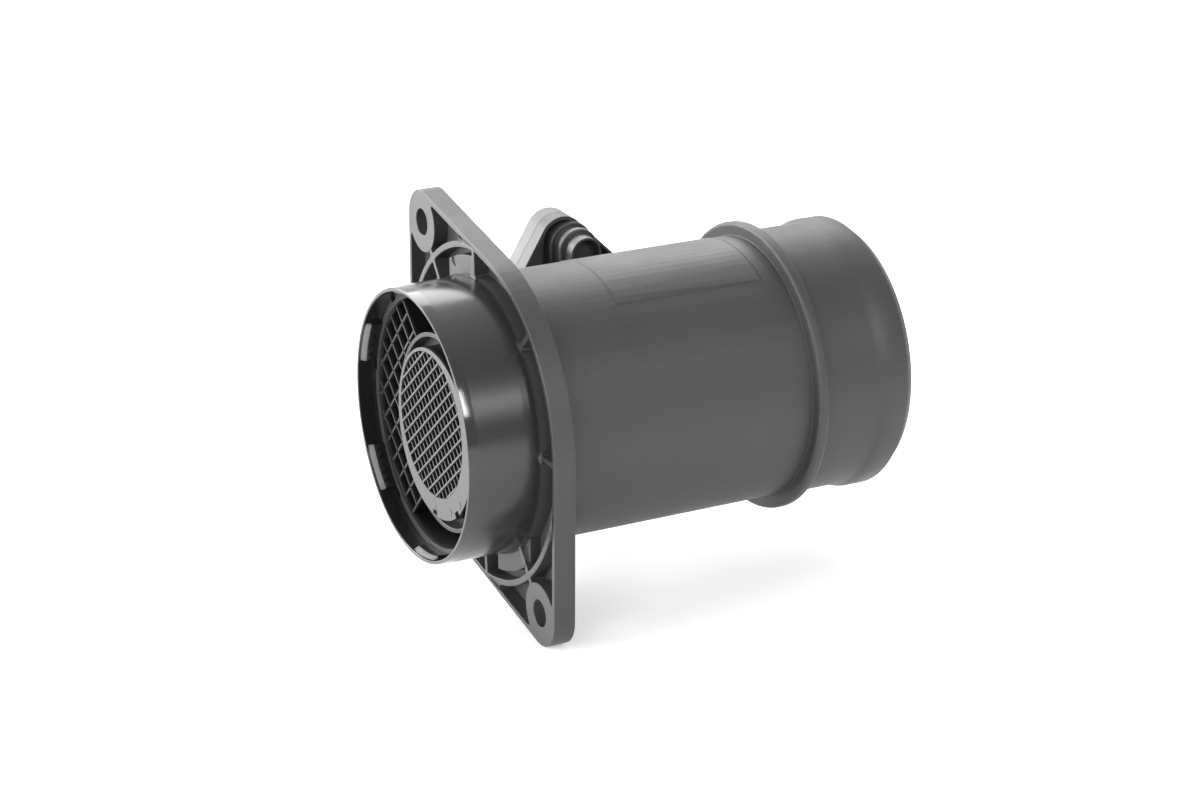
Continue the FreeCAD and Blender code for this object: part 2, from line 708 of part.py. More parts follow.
def build_electronics_housing():
    point_floor_y = MODULE_Y + POINT_RECESS_DEPTH
    body = module_prism(0, MODULE_Y, TRAY_TOP_Y)
    recess_region = point_region(MODULE_Y - 1, point_floor_y)
    for x, z in SCREW_PLACES:
        recess_region = recess_region.cut(rod_y(WELL_R + WELL_WALL, MODULE_Y - 1, point_floor_y, x, z))
    recess = module_prism(POINT_RECESS_RIM, MODULE_Y - 1, point_floor_y).common(recess_region)
    hollow = module_prism(MODULE_WALL, FLOOR_Y, TRAY_TOP_Y + 1)
    hollow = hollow.cut(point_region(FLOOR_Y, point_floor_y + POINT_FLOOR))
    hollow = hollow.cut(well_rods(WELL_R + WELL_WALL, FLOOR_Y, TRAY_TOP_Y + 1))
    plug = port_block(-PLUG_GAP, MODULE_Y - PLUG_LENGTH, MODULE_Y)
    seal_y = MODULE_Y - SEAL_FROM_FACE
    groove = plug.cut(port_block(-PLUG_GAP - SEAL_DEPTH_IN_PLUG, MODULE_Y - PLUG_LENGTH, MODULE_Y))
    groove = groove.common(box(0, HOSE_END_X, seal_y - SEAL_SIZE, seal_y, -TUBE_R, TUBE_R))
    tongue_slot = rounded_block_y(
        PORT_X, -CORE_DROP, TONGUE_LENGTH_X + 2 * FIT_GAP, TONGUE_WIDTH_Z + 2 * FIT_GAP,
        TONGUE_ROUND, MODULE_Y - PLUG_LENGTH - 1, FLOOR_Y + 1
    )
    body = joined([body, plug]).cut([recess, hollow, groove, tongue_slot])
    body = body.cut(well_rods(WELL_R, FLOOR_Y, TRAY_TOP_Y + 1))
    body = body.cut(well_rods(SCREW_R, MODULE_Y - 1, FLOOR_Y + 1))
    run = SOCKET_X - LEAD_RUN_WIDTH / 2
    body = body.cut(box(run, run + LEAD_RUN_WIDTH, lead_y(), TRAY_TOP_Y, 0, SOCKET_BOTTOM_Z))
    inset = (MODULE_WALL - SEAL_CORD) / 2
    body = body.cut(seal_groove(TRAY_TOP_Y - SEAL_CORD, TRAY_TOP_Y + 1, inset))
    body = body.cut(stadium_y(LIP_R, MODULE_Y - 1, point_floor_y))
    save("electronics_housing", body.cut(stadium_y(SOCKET_R, MODULE_Y, TRAY_TOP_Y + 1)))
    cord = seal_groove(TRAY_TOP_Y - SEAL_CORD, TRAY_TOP_Y, inset)
    save("cover_seal", cord.cut(stadium_y(SOCKET_R, MODULE_Y, TRAY_TOP_Y + 1)))
    ring = port_block(FIT_GAP / 2 - PLUG_GAP, seal_y - SEAL_SIZE, seal_y)
    ring = ring.cut(port_block(-PLUG_GAP - SEAL_DEPTH_IN_PLUG, seal_y - SEAL_SIZE, seal_y))
    save("module_seal", ring)


def build_electronics_cover():
    roof_y = COVER_TOP_Y - COVER_ROOF
    body = module_prism(0, TRAY_TOP_Y, COVER_TOP_Y)
    top_edges = [e for e in body.Edges if min(v.Point.y for v in e.Vertexes) > COVER_TOP_Y - TINY]
    body = body.makeChamfer(COVER_CHAMFER, top_edges)
    hollow = module_prism(MODULE_WALL, TRAY_TOP_Y, roof_y)
    hollow = hollow.cut(well_rods(WELL_R + WELL_WALL, TRAY_TOP_Y, roof_y))
    body = body.cut([hollow] + well_rods(WELL_R, TRAY_TOP_Y - 1, COVER_TOP_Y + 1))
    save("electronics_cover", body.cut(stadium_y(SOCKET_R, TRAY_TOP_Y - 1, COVER_TOP_Y + 1)))


def pin_heights():
    middle = (SOCKET_TOP_Z + SOCKET_BOTTOM_Z) / 2
    return [middle + (i - (PIN_COUNT - 1) / 2) * PIN_PITCH for i in range(PIN_COUNT)]


def lead_y():
    return FLOOR_Y + PLATE_THICKNESS + BOARD_THICKNESS


def connector_lead(index, z):
    """A flat lead that runs sideways from its pin and then down to the board, clear of the pins below."""
    step = (index + 1) // 2
    side = 1 if index % 2 else -1
    run_x = SOCKET_X + side * step * LEAD_SPACING
    half = LEAD_WIDTH / 2
    y0 = lead_y()
    y1 = y0 + LEAD_THICKNESS
    foot_z = PLATE_Z1 - BOARD_MARGIN - LEAD_OVERLAP
    across = box(min(SOCKET_X, run_x) - half, max(SOCKET_X, run_x) + half, y0, y1, z - half, z + half)
    down = box(run_x - half, run_x + half, y0, y1, foot_z, z + half)
    return joined([across, down])


def connector_pin(z):
    half = PIN_SIDE / 2
    start_y = lead_y() + LEAD_THICKNESS
    end_y = SOCKET_FLOOR_Y + PIN_REACH
    pin = box(SOCKET_X - half, SOCKET_X + half, start_y, end_y, z - half, z + half)
    tip_edges = [e for e in pin.Edges if min(v.Point.y for v in e.Vertexes) > end_y - TINY]
    return pin.makeChamfer(PIN_SIDE / 4, tip_edges)


def build_connector():
    steps = [
        stadium_y(SOCKET_R, MODULE_Y, SHROUD_Y),
        rounded_at(stadium_y(LIP_R, LIP_Y, MODULE_Y + POINT_RECESS_DEPTH), LIP_Y, EDGE_ROUND),
        stadium_y(NECK_R, RIB_Y, LIP_Y + EDGE_ROUND),
        rounded_at(stadium_y(RIB_R, RIB_Y, RIB_Y + RIB_THICKNESS), RIB_Y, EDGE_ROUND),
        stadium_y(CUP_R, CUP_Y, RIB_Y + EDGE_ROUND, CUP_BOTTOM_Z),
    ]
    cavity = stadium_y(SOCKET_R - SOCKET_WALL, SOCKET_FLOOR_Y, SHROUD_Y + 1)
    cup = stadium_y(CUP_R - CUP_WALL, CUP_Y - 1, CUP_Y + CUP_DEPTH, CUP_BOTTOM_Z)
    leads = [connector_lead(i, z) for i, z in enumerate(pin_heights())]
    pins = [connector_pin(z) for z in pin_heights()]
    body = joined(steps).cut([cavity, cup] + leads + pins)
    save("connector_socket", body)
    save("terminal_pins", Part.makeCompound(pins))
    save("connector_leads", Part.makeCompound(leads))


def module_screw(x, z):
    shank = rod_y(SCREW_R - FIT_GAP / 2, FLOOR_Y - SCREW_LENGTH, FLOOR_Y, x, z)
    head = rod_y(SCREW_HEAD_R, FLOOR_Y, FLOOR_Y + SCREW_HEAD_HEIGHT, x, z)
    top_y = FLOOR_Y + SCREW_HEAD_HEIGHT
    head = rounded_at(head, top_y, SCREW_HEAD_ROUND)
    points = []
    for k in range(7):
        turn = k * math.pi / 3
        points.append(vec(x + SCREW_DRIVE_R * math.cos(turn), top_y, z + SCREW_DRIVE_R * math.sin(turn)))
    drive = Part.Face(Part.makePolygon(points)).extrude(vec(0, -SCREW_DRIVE_DEPTH, 0))
    return joined([shank, head]).cut(drive)


def build_screws():
    save("module_screws", Part.makeCompound([module_screw(x, z) for x, z in SCREW_PLACES]))


# Sensor arm


def build_sensor_arm():
    root_y = MODULE_Y - PLUG_LENGTH
    centre_z = -CORE_DROP
    half_x = ARM_LENGTH_X / 2
    half_z = ARM_WIDTH_Z / 2
    block = rounded_block_y(PORT_X, centre_z, ARM_LENGTH_X, ARM_WIDTH_Z, ARM_ROUND, ARM_TIP_Y, root_y)
    tongue = rounded_block_y(PORT_X, centre_z, TONGUE_LENGTH_X, TONGUE_WIDTH_Z, TONGUE_ROUND, root_y, FLOOR_Y)
    y0 = CHANNEL_CENTRE_Y - CHANNEL_LENGTH_Y / 2
    y1 = CHANNEL_CENTRE_Y + CHANNEL_LENGTH_Y / 2
    z0 = centre_z - CHANNEL_WIDTH_Z / 2
    z1 = centre_z + CHANNEL_WIDTH_Z / 2
    channel = box(PORT_X - half_x - 1, PORT_X + half_x + 1, y0, y1, z0, z1)
    lid_x = half_x - ARM_COVER_MARGIN
    opening = box(PORT_X - lid_x, PORT_X + lid_x, y0, y1, z1, centre_z + half_z + 1)
    lid_z1 = centre_z + half_z
    lid_z0 = lid_z1 - ARM_COVER_THICKNESS
    lid_y0 = y0 - ARM_COVER_MARGIN
    lid_y1 = y1 + ARM_COVER_MARGIN
    seat = box(PORT_X - lid_x, PORT_X + lid_x, lid_y0, lid_y1, lid_z0, lid_z1 + 1)
    plate = box(
        PORT_X - CARRIER_PLATE_X / 2, PORT_X + CARRIER_PLATE_X / 2,
        y0 - CARRIER_PLATE_OVERLAP, y1 + CARRIER_PLATE_OVERLAP,
        centre_z - CARRIER_PLATE_THICKNESS / 2, centre_z + CARRIER_PLATE_THICKNESS / 2
    )
    beads = [bead_lead(side) for side in (-1, 1)]
    arm = joined([block, tongue]).cut([channel, opening, seat, plate] + beads)
    save("sensor_arm", arm)
    save("arm_cover", box(PORT_X - lid_x, PORT_X + lid_x, lid_y0, lid_y1, lid_z0, lid_z1))
    save("chip_carrier", plate)
    chip_z = centre_z + CARRIER_PLATE_THICKNESS / 2
    chip = box(
        PORT_X - CHIP_SIDE_X / 2, PORT_X + CHIP_SIDE_X / 2,
        CHANNEL_CENTRE_Y - CHIP_SIDE_Y / 2, CHANNEL_CENTRE_Y + CHIP_SIDE_Y / 2,
        chip_z, chip_z + CHIP_THICKNESS
    )
    save("hot_film_chip", chip)


def bead_lead(side):
    """One of the two wires that carry the temperature sensor ahead of the arm."""
    face_x = PORT_X - ARM_LENGTH_X / 2
    bead_x = face_x - BEAD_STAND
    y = BEAD_Y + side * BEAD_LEAD_GAP / 2
    wire = rod_x(BEAD_LEAD_R, bead_x, face_x + BEAD_LEAD_GAP, y, -CORE_DROP)
    return wire.cut(Part.makeSphere(BEAD_R, vec(bead_x, BEAD_Y, -CORE_DROP)))


def build_temperature_sensor():
    bead_x = PORT_X - ARM_LENGTH_X / 2 - BEAD_STAND
    save("air_temperature_bead", Part.makeSphere(BEAD_R, vec(bead_x, BEAD_Y, -CORE_DROP)))
    save("temperature_leads", Part.makeCompound([bead_lead(side) for side in (-1, 1)]))


# Electronics


def board_part(place, size):
    x, z = place
    length, height, thickness = size
    y0 = lead_y()
    return box(x - length / 2, x + length / 2, y0, y0 + thickness, z - height / 2, z + height / 2)


def build_electronics():
    board_y = FLOOR_Y + PLATE_THICKNESS
    save("heat_plate", box(PLATE_X0, PLATE_X1, FLOOR_Y, board_y, PLATE_Z0, PLATE_Z1))
    board = box(
        PLATE_X0 + BOARD_MARGIN, PLATE_X1 - BOARD_MARGIN, board_y, board_y + BOARD_THICKNESS,
        PLATE_Z0 + BOARD_MARGIN, PLATE_Z1 - BOARD_MARGIN
    )
    save("circuit_board", board)
    save("control_chip", board_part(CONTROL_CHIP[:2], CONTROL_CHIP[2:]))
    save("board_capacitors", Part.makeCompound([board_part(p, CAPACITOR_SIZE) for p in CAPACITOR_PLACES]))
    save("board_resistors", Part.makeCompound([board_part(p, RESISTOR_SIZE) for p in RESISTOR_PLACES]))


os.makedirs("parts", exist_ok=True)
build_housing()
build_flow_grid()
build_measuring_tube()
build_fine_mesh()
build_electronics_housing()
build_electronics_cover()
build_connector()
build_screws()
build_sensor_arm()
build_temperature_sensor()
build_electronics()
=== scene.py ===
import math

import bmesh
import bpy
from mathutils import Matrix, Vector


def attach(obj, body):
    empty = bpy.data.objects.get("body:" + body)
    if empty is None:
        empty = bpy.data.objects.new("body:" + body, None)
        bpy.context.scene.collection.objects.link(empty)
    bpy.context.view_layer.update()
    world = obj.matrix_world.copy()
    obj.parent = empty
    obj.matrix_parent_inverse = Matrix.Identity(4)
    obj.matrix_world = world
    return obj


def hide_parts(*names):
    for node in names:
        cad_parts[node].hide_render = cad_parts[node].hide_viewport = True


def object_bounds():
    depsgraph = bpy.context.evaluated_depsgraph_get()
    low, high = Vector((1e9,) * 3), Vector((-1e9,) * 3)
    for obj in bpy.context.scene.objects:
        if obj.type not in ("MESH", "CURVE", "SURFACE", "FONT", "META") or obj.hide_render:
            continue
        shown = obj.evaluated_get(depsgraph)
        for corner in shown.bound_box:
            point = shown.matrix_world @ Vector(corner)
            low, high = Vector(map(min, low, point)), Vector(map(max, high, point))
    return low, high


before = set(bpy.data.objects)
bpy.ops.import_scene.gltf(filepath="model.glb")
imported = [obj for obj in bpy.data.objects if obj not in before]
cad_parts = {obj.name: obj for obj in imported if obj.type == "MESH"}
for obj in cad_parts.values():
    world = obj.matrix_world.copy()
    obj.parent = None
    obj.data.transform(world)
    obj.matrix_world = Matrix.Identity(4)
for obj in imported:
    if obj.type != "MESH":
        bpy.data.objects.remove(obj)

bl_info = {
    "name": "Mass Airflow Sensor",
    "version": (1, 0, 0),
    "blender": (4, 5, 0),
    "location": "View3D > Sidebar > Airflow Sensor",
    "description": "Dresses the packed mass airflow sensor and sets it on a pale studio floor",
    "category": "Object",
}

CAD_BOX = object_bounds()
MM = 0.001

# The mouth: sizes in millimetres, angles in degrees from +Y towards +Z, centres as (Y, Z)
AXIS = Vector((0.0, 0.0))

# Steps round a ring, degrees kept free beside its cuts, and steps over a rounded edge
ROUND_STEPS = 96
CUT_CLEARANCE = 0.5
BEVEL_SEGMENTS = 2

# Measuring tube: its mouth, and where it has run back into the CAD tube
CORE_CENTRE = Vector((-6.1, -0.5))
CORE_R = 25.3
CORE_FRONT_X = -13.4
CORE_STRAIGHT_X = -8.0
CORE_MEETS_X = 5.0

# The same mouth in the CAD model: its height, its front and how far back the front edge reaches
CAD_CORE_Z = -3.1
CAD_CORE_X = -10.3
CAD_CORE_EDGE = 1.0

# Carrier ring with its keys
CARRIER_X = (-13.9, -5.0)
CARRIER_R = (31.9, 33.9)
KEY_ANGLES = (8, 52, 128, 172, 232, 308)
KEY_DEPTH = 0.8
KEY_WIDTH = 3.0

# Coarse grid between carrier and measuring tube: two families of ribs, counted from the tube's centre
GRID_X = (-13.4, -8.4)
GRID_RIB = 0.55
RIB_SEAT = 0.6
RISING_ANGLE = 42.2
RISING_TOP = 5.96
RISING_PITCH = 5.125
RISING_COUNT = 9
FALLING_ANGLE = -47.8
FALLING_LOW = -5.13
FALLING_PITCH = 5.227
FALLING_COUNT = 9

# Fine mesh: its plate and window, skirt and seat, lattice and moulding marks
MESH_X = (-15.3, -13.3)
MESH_R = 21.8
WINDOW_R = 18.6
WINDOW_SHIFT = Vector((1.59, 1.93))
NOTCH_ANGLES = (231.4, 270.5)
NOTCH_DEPTH = 1.3
NOTCH_WIDTH = 2.4
SKIRT_X = (-14.3, -9.0)
SKIRT_R = (20.8, 21.8)
SEAT_X = (-10.2, -9.0)
SEAT_R = (20.8, 24.05)
BAR_WIDTH = 0.5
BAR_ANGLE = -40.0
BAR_PITCH = 2.86
BAR_START = -15.66
SLAT_ANGLE = 49.0
SLAT_PITCH = 2.375
SLAT_START = -16.18
SLAT_SET_BACK = 0.35
MARK_ANGLES = (223.4, 243.0)
MARK_RING_R = 19.9
MARK_R = 1.1
MARK_STAND = 0.08
MARK_STEPS = 24

# Ring behind the fine mesh's seat
RETAINER_X = (-9.0, -7.9)
RETAINER_R = (22.6, 24.05)

# Corners nearer than these, in millimetres, are joined or count as one
CAD_WELD = 0.002
NEW_WELD = 0.001
CUT_WELD = 0.0001
CUT_REACH = 0.01

# Where the plastics change, along the axis and out from it, in millimetres, with the bounds of the painted
# shade inside the mouth, of the painted highlight on the lugs' ramps and the depths of the painted shade
# behind the lattices' front faces
MOUTH_R = 34.0
OUTSIDE_R = (MOUTH_R + 0.1, MOUTH_R + 0.7)
GRAIN_X = (-0.5, 0.5)
LEAD_IN_X = (-16.2, -16.0)
# The lugs' ramps, which carry a painted highlight and a rougher surface
RAMP_R = (MOUTH_R - 0.2, MOUTH_R - 0.1)
RAMP_X = (-18.4, -16.9)
RAMP_END = 0.12
GRID_SHADE_DEPTH = 0.9
MESH_SHADE_DEPTH = 0.6

# Patterns: scales per metre, ranges of the noises, and the shares of a colour that they give
BODY_CLOUDS = 38.0
CLOUDS = 45.0
DRAWN_LINES = 900.0
LINE_STRETCH = (0.08, 1.0, 1.0)
BOARD_CELLS = 420.0
RUBBER_BLOOM = 900.0
SPECKLE = 1500.0
PAPER_TOOTH = 300.0
NOISE_RANGE = (0.3, 0.7)
TONE_RANGE = (0.65, 1.35)
TONE_SHARES = (0.86, 1.16)

# Colours of the metals, the board and the small parts
TIN = (0.72, 0.68, 0.58)
ZINC = (0.58, 0.58, 0.6)
STEEL = (0.6, 0.6, 0.6)
ALUMINIUM = (0.75, 0.75, 0.76)
SEAL_BLACK = (0.018, 0.018, 0.019)
BOARD_GREEN = (0.03, 0.11, 0.05)
SILICON = (0.1, 0.11, 0.17)
EPOXY = (0.1, 0.06, 0.035)
CASE_BLACK = (0.025, 0.025, 0.026)
CERAMIC = (0.42, 0.28, 0.15)
WHITE = (1, 1, 1, 1)

# Studio, in metres: name, place, target, width and height of each light, and the setting with its power
MIDDLE = (0.04, 0.0, 0.0)
RIM = (-0.017, -0.032, 0.015)
LIGHTS = (
    ("top light", (0.0, 1.0, 0.75), MIDDLE, (1.8, 0.6), "key_power"),
    ("rear light", (-0.53, 0.91, 0.25), MIDDLE, (0.5, 0.5), "flank_power"),
    ("left light", (-1.0, -0.02, 0.22), MIDDLE, (0.5, 0.5), "left_power"),
    ("strip light", (0.38, -0.82, 0.41), MIDDLE, (0.05, 0.3), "strip_power"),
    ("rim glint", (0.17, -0.82, 0.55), RIM, (0.08, 0.35), "glint_power"),
    ("mouth light", (-0.67, -0.7, 0.52), MIDDLE, (0.5, 0.5), "mouth_power"),
)
FLOOR_HALF = 4.0
FLOOR_GAP = 0.0002
ROOM_FADE = (-0.5, 0.6)
SENSOR_WIDTH = 36.0


# Settings


class PlasticSettings(bpy.types.PropertyGroup):
    """Colours, grain and gloss of the plastics"""
    body_colour: bpy.props.FloatVectorProperty(
        name="Body colour", description="Grained plastic of the duct and flange",
        subtype="COLOR", size=3, min=0.0, max=1.0, default=(0.038, 0.0385, 0.039)
    )
    module_colour: bpy.props.FloatVectorProperty(
        name="Module colour", description="Plastic of the electronics tray",
        subtype="COLOR", size=3, min=0.0, max=1.0, default=(0.06, 0.06, 0.061)
    )
    # Painted light: the lid is the tray's plastic, made paler for the light that falls on its flank
    lid_lit_colour: bpy.props.FloatVectorProperty(
        name="Lid colour", description="Paler plastic of the electronics lid",
        subtype="COLOR", size=3, min=0.0, max=1.0, default=(0.11, 0.11, 0.111)
    )
    socket_colour: bpy.props.FloatVectorProperty(
        name="Socket colour", description="Dark grey plastic of the connector",
        subtype="COLOR", size=3, min=0.0, max=1.0, default=(0.045, 0.045, 0.0455)
    )
    black_colour: bpy.props.FloatVectorProperty(
        name="Black colour", description="Black plastic of the measuring tube, its ring and the sensor arm",
        subtype="COLOR", size=3, min=0.0, max=1.0, default=(0.01, 0.01, 0.0102)
    )
    grid_colour: bpy.props.FloatVectorProperty(
        name="Grid colour", description="Front edges of the coarse grid",
        subtype="COLOR", size=3, min=0.0, max=1.0, default=(0.026, 0.026, 0.0265)
    )
    mesh_colour: bpy.props.FloatVectorProperty(
        name="Mesh colour", description="Light grey plastic of the fine mesh",
        subtype="COLOR", size=3, min=0.0, max=1.0, default=(0.064, 0.064, 0.065)
    )
    grain_size: bpy.props.FloatProperty(
        name="Grain size", description="Width of one grain of the moulded surface",
        subtype="DISTANCE", unit="LENGTH", min=0.0001, max=0.003, default=0.0005
    )
    grain_depth: bpy.props.FloatProperty(
        name="Grain depth", description="Height of the moulded grain",
        subtype="DISTANCE", unit="LENGTH", min=0.0, max=0.0005, default=0.00005
    )
    roughness: bpy.props.FloatProperty(
        name="Roughness", description="Roughness of the grained plastic",
        min=0.0, max=1.0, default=0.5
    )
    smooth_roughness: bpy.props.FloatProperty(
        name="Smooth roughness", description="Roughness of the polished spigot",
        min=0.0, max=1.0, default=0.22
    )
    polished_share: bpy.props.FloatProperty(
        name="Polished share", description="Share of the body colour left on the polished spigot",
        min=0.0, max=1.0, default=0.7
    )
    # Painted shade: the mouth's inner wall gets a darker share of the body colour than the polished outside
    mouth_shade_share: bpy.props.FloatProperty(
        name="Mouth share", description="Share of the body colour left inside the mouth",
        min=0.0, max=1.0, default=0.25
    )
    # Painted highlight: a paler colour on the snap lugs' ramps stands in for the light they catch
    ramp_highlight_share: bpy.props.FloatProperty(
        name="Ramp share", description="How much paler the scuffed ramps of the snap lugs are",
        min=0.0, max=10.0, default=4.5
    )


class EdgeSettings(bpy.types.PropertyGroup):
    """Rounding and creases of the pieces' edges"""
    body_round: bpy.props.FloatProperty(
        name="Body edge", description="Rounding of the body's moulded edges",
        subtype="DISTANCE", unit="LENGTH", min=0.0, max=0.002, default=0.00016
    )
    fine_round: bpy.props.FloatProperty(
        name="Fine edge", description="Rounding of tray and lid; measuring tube and socket have twice this",
        subtype="DISTANCE", unit="LENGTH", min=0.0, max=0.001, default=0.00008
    )
    round_angle: bpy.props.FloatProperty(
        name="Rounding angle", description="Edges that turn more than this are rounded",
        subtype="ANGLE", unit="ROTATION", min=0.1, max=1.5, default=math.radians(50)
    )
    crease_angle: bpy.props.FloatProperty(
        name="Crease angle", description="Edges that turn more than this stay creased in the shading",
        subtype="ANGLE", unit="ROTATION", min=0.1, max=1.5, default=math.radians(22)
    )


class StageSettings(bpy.types.PropertyGroup):
    """Floor, lights, surroundings and camera"""
    floor_colour: bpy.props.FloatVectorProperty(
        name="Floor colour", description="Pale floor under the sensor",
        subtype="COLOR", size=3, min=0.0, max=1.0, default=(0.9, 0.9, 0.9)
    )
    back_brightness: bpy.props.FloatProperty(
        name="Backdrop", description="Brightness of the white room behind the sensor",
        min=0.0, max=5.0, default=1.5
    )
    front_brightness: bpy.props.FloatProperty(
        name="Camera side", description="Brightness of the room on the camera's side",
        min=0.0, max=5.0, default=0.34
    )
    floor_glow: bpy.props.FloatProperty(
        name="Floor glow", description="Brightness of the lit table itself",
        min=0.0, max=2.0, default=0.3
    )
    key_power: bpy.props.FloatProperty(
        name="Top light", description="Power of the large light above and behind",
        subtype="POWER", unit="POWER", min=0.0, max=100.0, default=16.5
    )
    flank_power: bpy.props.FloatProperty(
        name="Rear light", description="Power of the light behind on the mouth's side",
        subtype="POWER", unit="POWER", min=0.0, max=100.0, default=8.0
    )
    left_power: bpy.props.FloatProperty(
        name="Left light", description="Power of the light on the mouth's side",
        subtype="POWER", unit="POWER", min=0.0, max=100.0, default=10.0
    )
    strip_power: bpy.props.FloatProperty(
        name="Strip light", description="Power of the narrow light at the front right",
        subtype="POWER", unit="POWER", min=0.0, max=100.0, default=0.45
    )
    glint_power: bpy.props.FloatProperty(
        name="Rim glint", description="Power of the small light that the rim's lead-in mirrors",
        subtype="POWER", unit="POWER", min=0.0, max=100.0, default=3.0
    )
    mouth_power: bpy.props.FloatProperty(
        name="Mouth light", description="Power of the soft light beside the camera that the snap lugs mirror",
        subtype="POWER", unit="POWER", min=0.0, max=100.0, default=3.0
    )
    camera_place: bpy.props.FloatVectorProperty(
        name="Camera place", description="Where the camera stands",
        subtype="TRANSLATION", unit="LENGTH", size=3, default=(-0.2818, -0.6198, 0.2660)
    )
    camera_heading: bpy.props.FloatProperty(
        name="Camera heading", description="Turn of the view about the vertical, from +Y",
        subtype="ANGLE", unit="ROTATION", min=-math.pi, max=math.pi, default=math.radians(-27.0)
    )
    camera_tilt: bpy.props.FloatProperty(
        name="Camera tilt", description="How far the view looks down",
        subtype="ANGLE", unit="ROTATION", min=-1.5, max=1.5, default=math.radians(21.08)
    )
    lens: bpy.props.FloatProperty(
        name="Lens", description="Focal length on a 36 mm wide sensor, in millimetres",
        min=10.0, max=300.0, default=87.15
    )


# Materials


def share_of(colour, share):
    """A share of a colour, no brighter than white."""
    return (*[min(part * share, 1.0) for part in colour], 1)


class NodeTree:
    """Adds nodes to the tree of a material or the world."""

    def __init__(self, tree):
        self.nodes = tree.nodes
        self.links = tree.links

    def fill(self, node, inputs):
        """Links or sets a node's inputs, by name or number."""
        for name, value in inputs.items():
            if isinstance(value, bpy.types.NodeSocket):
                self.links.new(value, node.inputs[name])
            else:
                node.inputs[name].default_value = value

    def add(self, kind, inputs=None, **settings):
        """A new node with its settings and inputs."""
        made = self.nodes.new(kind)
        for name, value in settings.items():
            setattr(made, name, value)
        self.fill(made, inputs or {})
        return made

    def spread(self, value, to, over=(0.0, 1.0)):
        """Stretches one range of a value to another, and holds it there."""
        ends = {"From Min": over[0], "From Max": over[1], "To Min": to[0], "To Max": to[1]}
        return self.add("ShaderNodeMapRange", {"Value": value, **ends}).outputs["Result"]

    def mixed(self, factor, first, second, data_type="FLOAT"):
        """From the first value or colour to the second as the factor rises."""
        made = self.add("ShaderNodeMix", {"Factor": factor, "A": first, "B": second}, data_type=data_type)
        return made.outputs["Result"]

    def calculated(self, operation, first, second):
        """What a Math operation makes of two values."""
        return self.add("ShaderNodeMath", {0: first, 1: second}, operation=operation).outputs["Value"]


class Finish(NodeTree):
    """A material in the making, with patterns on the object's own coordinates."""

    def __init__(self, name):
        self.material = bpy.data.materials.new(name)
        self.material.use_nodes = True
        super().__init__(self.material.node_tree)
        self.shader = self.nodes["Principled BSDF"]
        self.place = self.add("ShaderNodeTexCoord").outputs["Object"]

    def noise(self, scale, detail=2.0, roughness=0.5, place=None):
        """Soft noise on the object's coordinates, or on the place that is given."""
        place = self.place if place is None else place
        inputs = {"Vector": place, "Scale": scale, "Detail": detail, "Roughness": roughness}
        return self.add("ShaderNodeTexNoise", inputs).outputs["Fac"]

    def grain(self, plastic):
        """The fine grain of a moulded surface."""
        return self.noise(1 / plastic.grain_size, detail=3.0, roughness=0.6)

    def clouds(self, scale):
        """The soft clouds that the melt's flow leaves."""
        return self.noise(scale, detail=3.0, roughness=0.55)

    def axes(self):
        """The object's three coordinates, X along the duct's axis."""
        return self.add("ShaderNodeSeparateXYZ", {"Vector": self.place}).outputs

    def radius(self, axes):
        """The distance from the duct's axis."""
        flat = self.add("ShaderNodeCombineXYZ", {"Y": axes["Y"], "Z": axes["Z"]}).outputs["Vector"]
        return self.add("ShaderNodeVectorMath", {0: flat}, operation="LENGTH").outputs["Value"]

    def fade(self, value, edges, to=(0.0, 1.0)):
        """Changes over the stretch between two edges given in millimetres."""
        return self.spread(value, to, [edge * MM for edge in edges])

    def around(self, value, middle, less, more, over=NOISE_RANGE):
        """A number that a pattern lowers or raises a little."""
        return self.spread(value, (middle - less, middle + more), over)

    def tinted(self, value, colour, dark, light):
        """The colour, from a darker to a lighter share of it as the value rises."""
        return self.mixed(value, share_of(colour, dark), share_of(colour, light), "RGBA")

    def flow_tone(self, colour, grain, clouds):
        """The colour, varied by grain and clouds together."""
        tone = self.spread(self.calculated("ADD", grain, clouds), (0.0, 1.0), TONE_RANGE)
        return self.tinted(tone, colour, *TONE_SHARES)

    def coat(self, colour, roughness, height, depth, strength=1.0):
        """Gives the shader its colour, roughness and bump, and returns the material."""
        bump = self.add("ShaderNodeBump", {"Height": height, "Distance": depth, "Strength": strength})
        normal = bump.outputs["Normal"]
        self.fill(self.shader, {"Base Color": colour, "Roughness": roughness, "Normal": normal})
        return self.material


def moulded_plastic(name, colour, plastic, roughness, grain_share):
    """Grained injection-moulded plastic with soft clouds of tone from the melt's flow."""
    finish = Finish(name)
    grain = finish.grain(plastic)
    clouds = finish.clouds(CLOUDS)
    tone = finish.flow_tone(colour, grain, clouds)
    roughness = finish.around(clouds, roughness, less=0.06, more=0.08)
    return finish.coat(tone, roughness, grain, depth=plastic.grain_depth * grain_share)


def lattice_plastic(name, colour, plastic, front, shade_depth):
    """Plastic of a lattice with painted shade that darkens it from its front face into its openings."""
    finish = Finish(name)
    grain = finish.grain(plastic)
    # Painted shade: the colour falls off with depth behind the front face
    lit = finish.fade(finish.axes()["X"], (front, front + shade_depth), (1.0, 0.0))
    tone = finish.tinted(lit, colour, dark=0.06, light=1.0)
    roughness = finish.spread(grain, (0.44, 0.58))
    return finish.coat(tone, roughness, grain, depth=plastic.grain_depth * 0.3)


